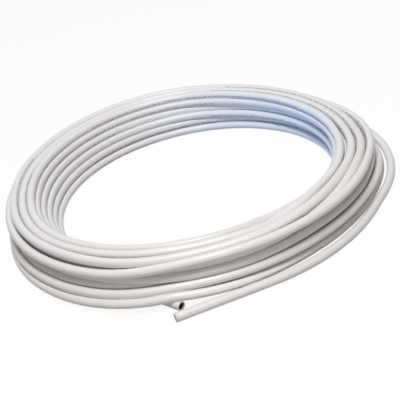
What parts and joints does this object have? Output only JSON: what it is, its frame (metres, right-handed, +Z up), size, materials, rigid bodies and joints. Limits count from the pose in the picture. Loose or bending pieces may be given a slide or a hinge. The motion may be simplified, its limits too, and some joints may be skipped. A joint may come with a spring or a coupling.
{
  "type": "coil of pex pipe",
  "caption": "Flat-lying coil of smooth plastic pipe wound in nested rows, one turn sprung clear at the side and both hollow cut ends free on the floor",
  "frame": {"origin": "on the floor, at the middle of the footprint", "axes": "+Z up, along the coil's axis; the two cut ends lie at the -Y side and the sprung turn at the +X side"},
  "size_m": [0.7228, 0.73, 0.0794],
  "materials": {
    "pipe": "smooth extruded crosslinked polyethylene, off-white, with a soft waxy sheen"
  },
  "bodies": {
    "root": {"pipe_coil": "pipe"}
  },
  "joints": []
}
